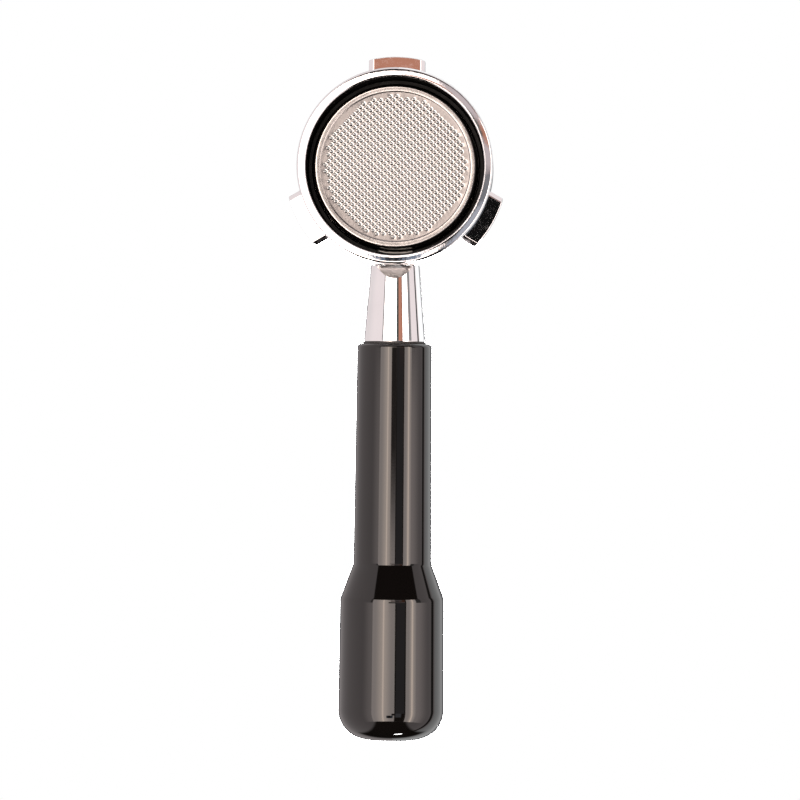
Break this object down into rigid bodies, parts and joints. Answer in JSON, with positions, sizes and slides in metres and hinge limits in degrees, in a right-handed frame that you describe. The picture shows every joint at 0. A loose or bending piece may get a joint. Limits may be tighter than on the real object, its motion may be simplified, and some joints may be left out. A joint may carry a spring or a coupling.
{
  "type": "portafilter",
  "caption": "Bottomless espresso portafilter: chromed lugged ring, spring-held perforated basket that turns and lifts out, tapered neck, long gloss handle.",
  "frame": {"origin": "on the ring's axis, in the plane of the ring's open lower face, on which the portafilter rests", "axes": "+Z along the ring's axis towards the mouth that locks into the machine; -Y along the handle; +Y through the lug opposite the handle"},
  "size_m": [0.0736, 0.235, 0.0366],
  "materials": {
    "chromed_casting": "polished chrome plate over a brass casting, bore left dark",
    "stainless_sheet": "pressed stainless sheet, satin floor with fine perforations",
    "spring_steel": "drawn spring wire",
    "plated_steel": "zinc-plated steel",
    "black_washer": "matt black",
    "gloss_black": "high-gloss black moulding"
  },
  "bodies": {
    "holder": {"filter_ring": "chromed_casting", "neck": "chromed_casting", "neck_screw": "plated_steel", "neck_washer": "black_washer", "handle_grip": "gloss_black", "end_plug": "gloss_black", "tie_stud": "plated_steel", "end_washer": "plated_steel", "lock_washer": "spring_steel", "clamp_nut": "plated_steel"},
    "spring": {"basket_spring": "spring_steel"},
    "basket": {"filter_basket": "stainless_sheet"}
  },
  "joints": [
    {"name": "basket_turn", "type": "hinge", "parent": "holder", "child": "spring", "pos_m": [0, 0, 0.0215], "axis": [0, 0, 1], "continuous": true},
    {"name": "basket_lift", "type": "slide", "parent": "spring", "child": "basket", "axis": [0, 0, 1], "range_m": [0, 0.024]}
  ]
}
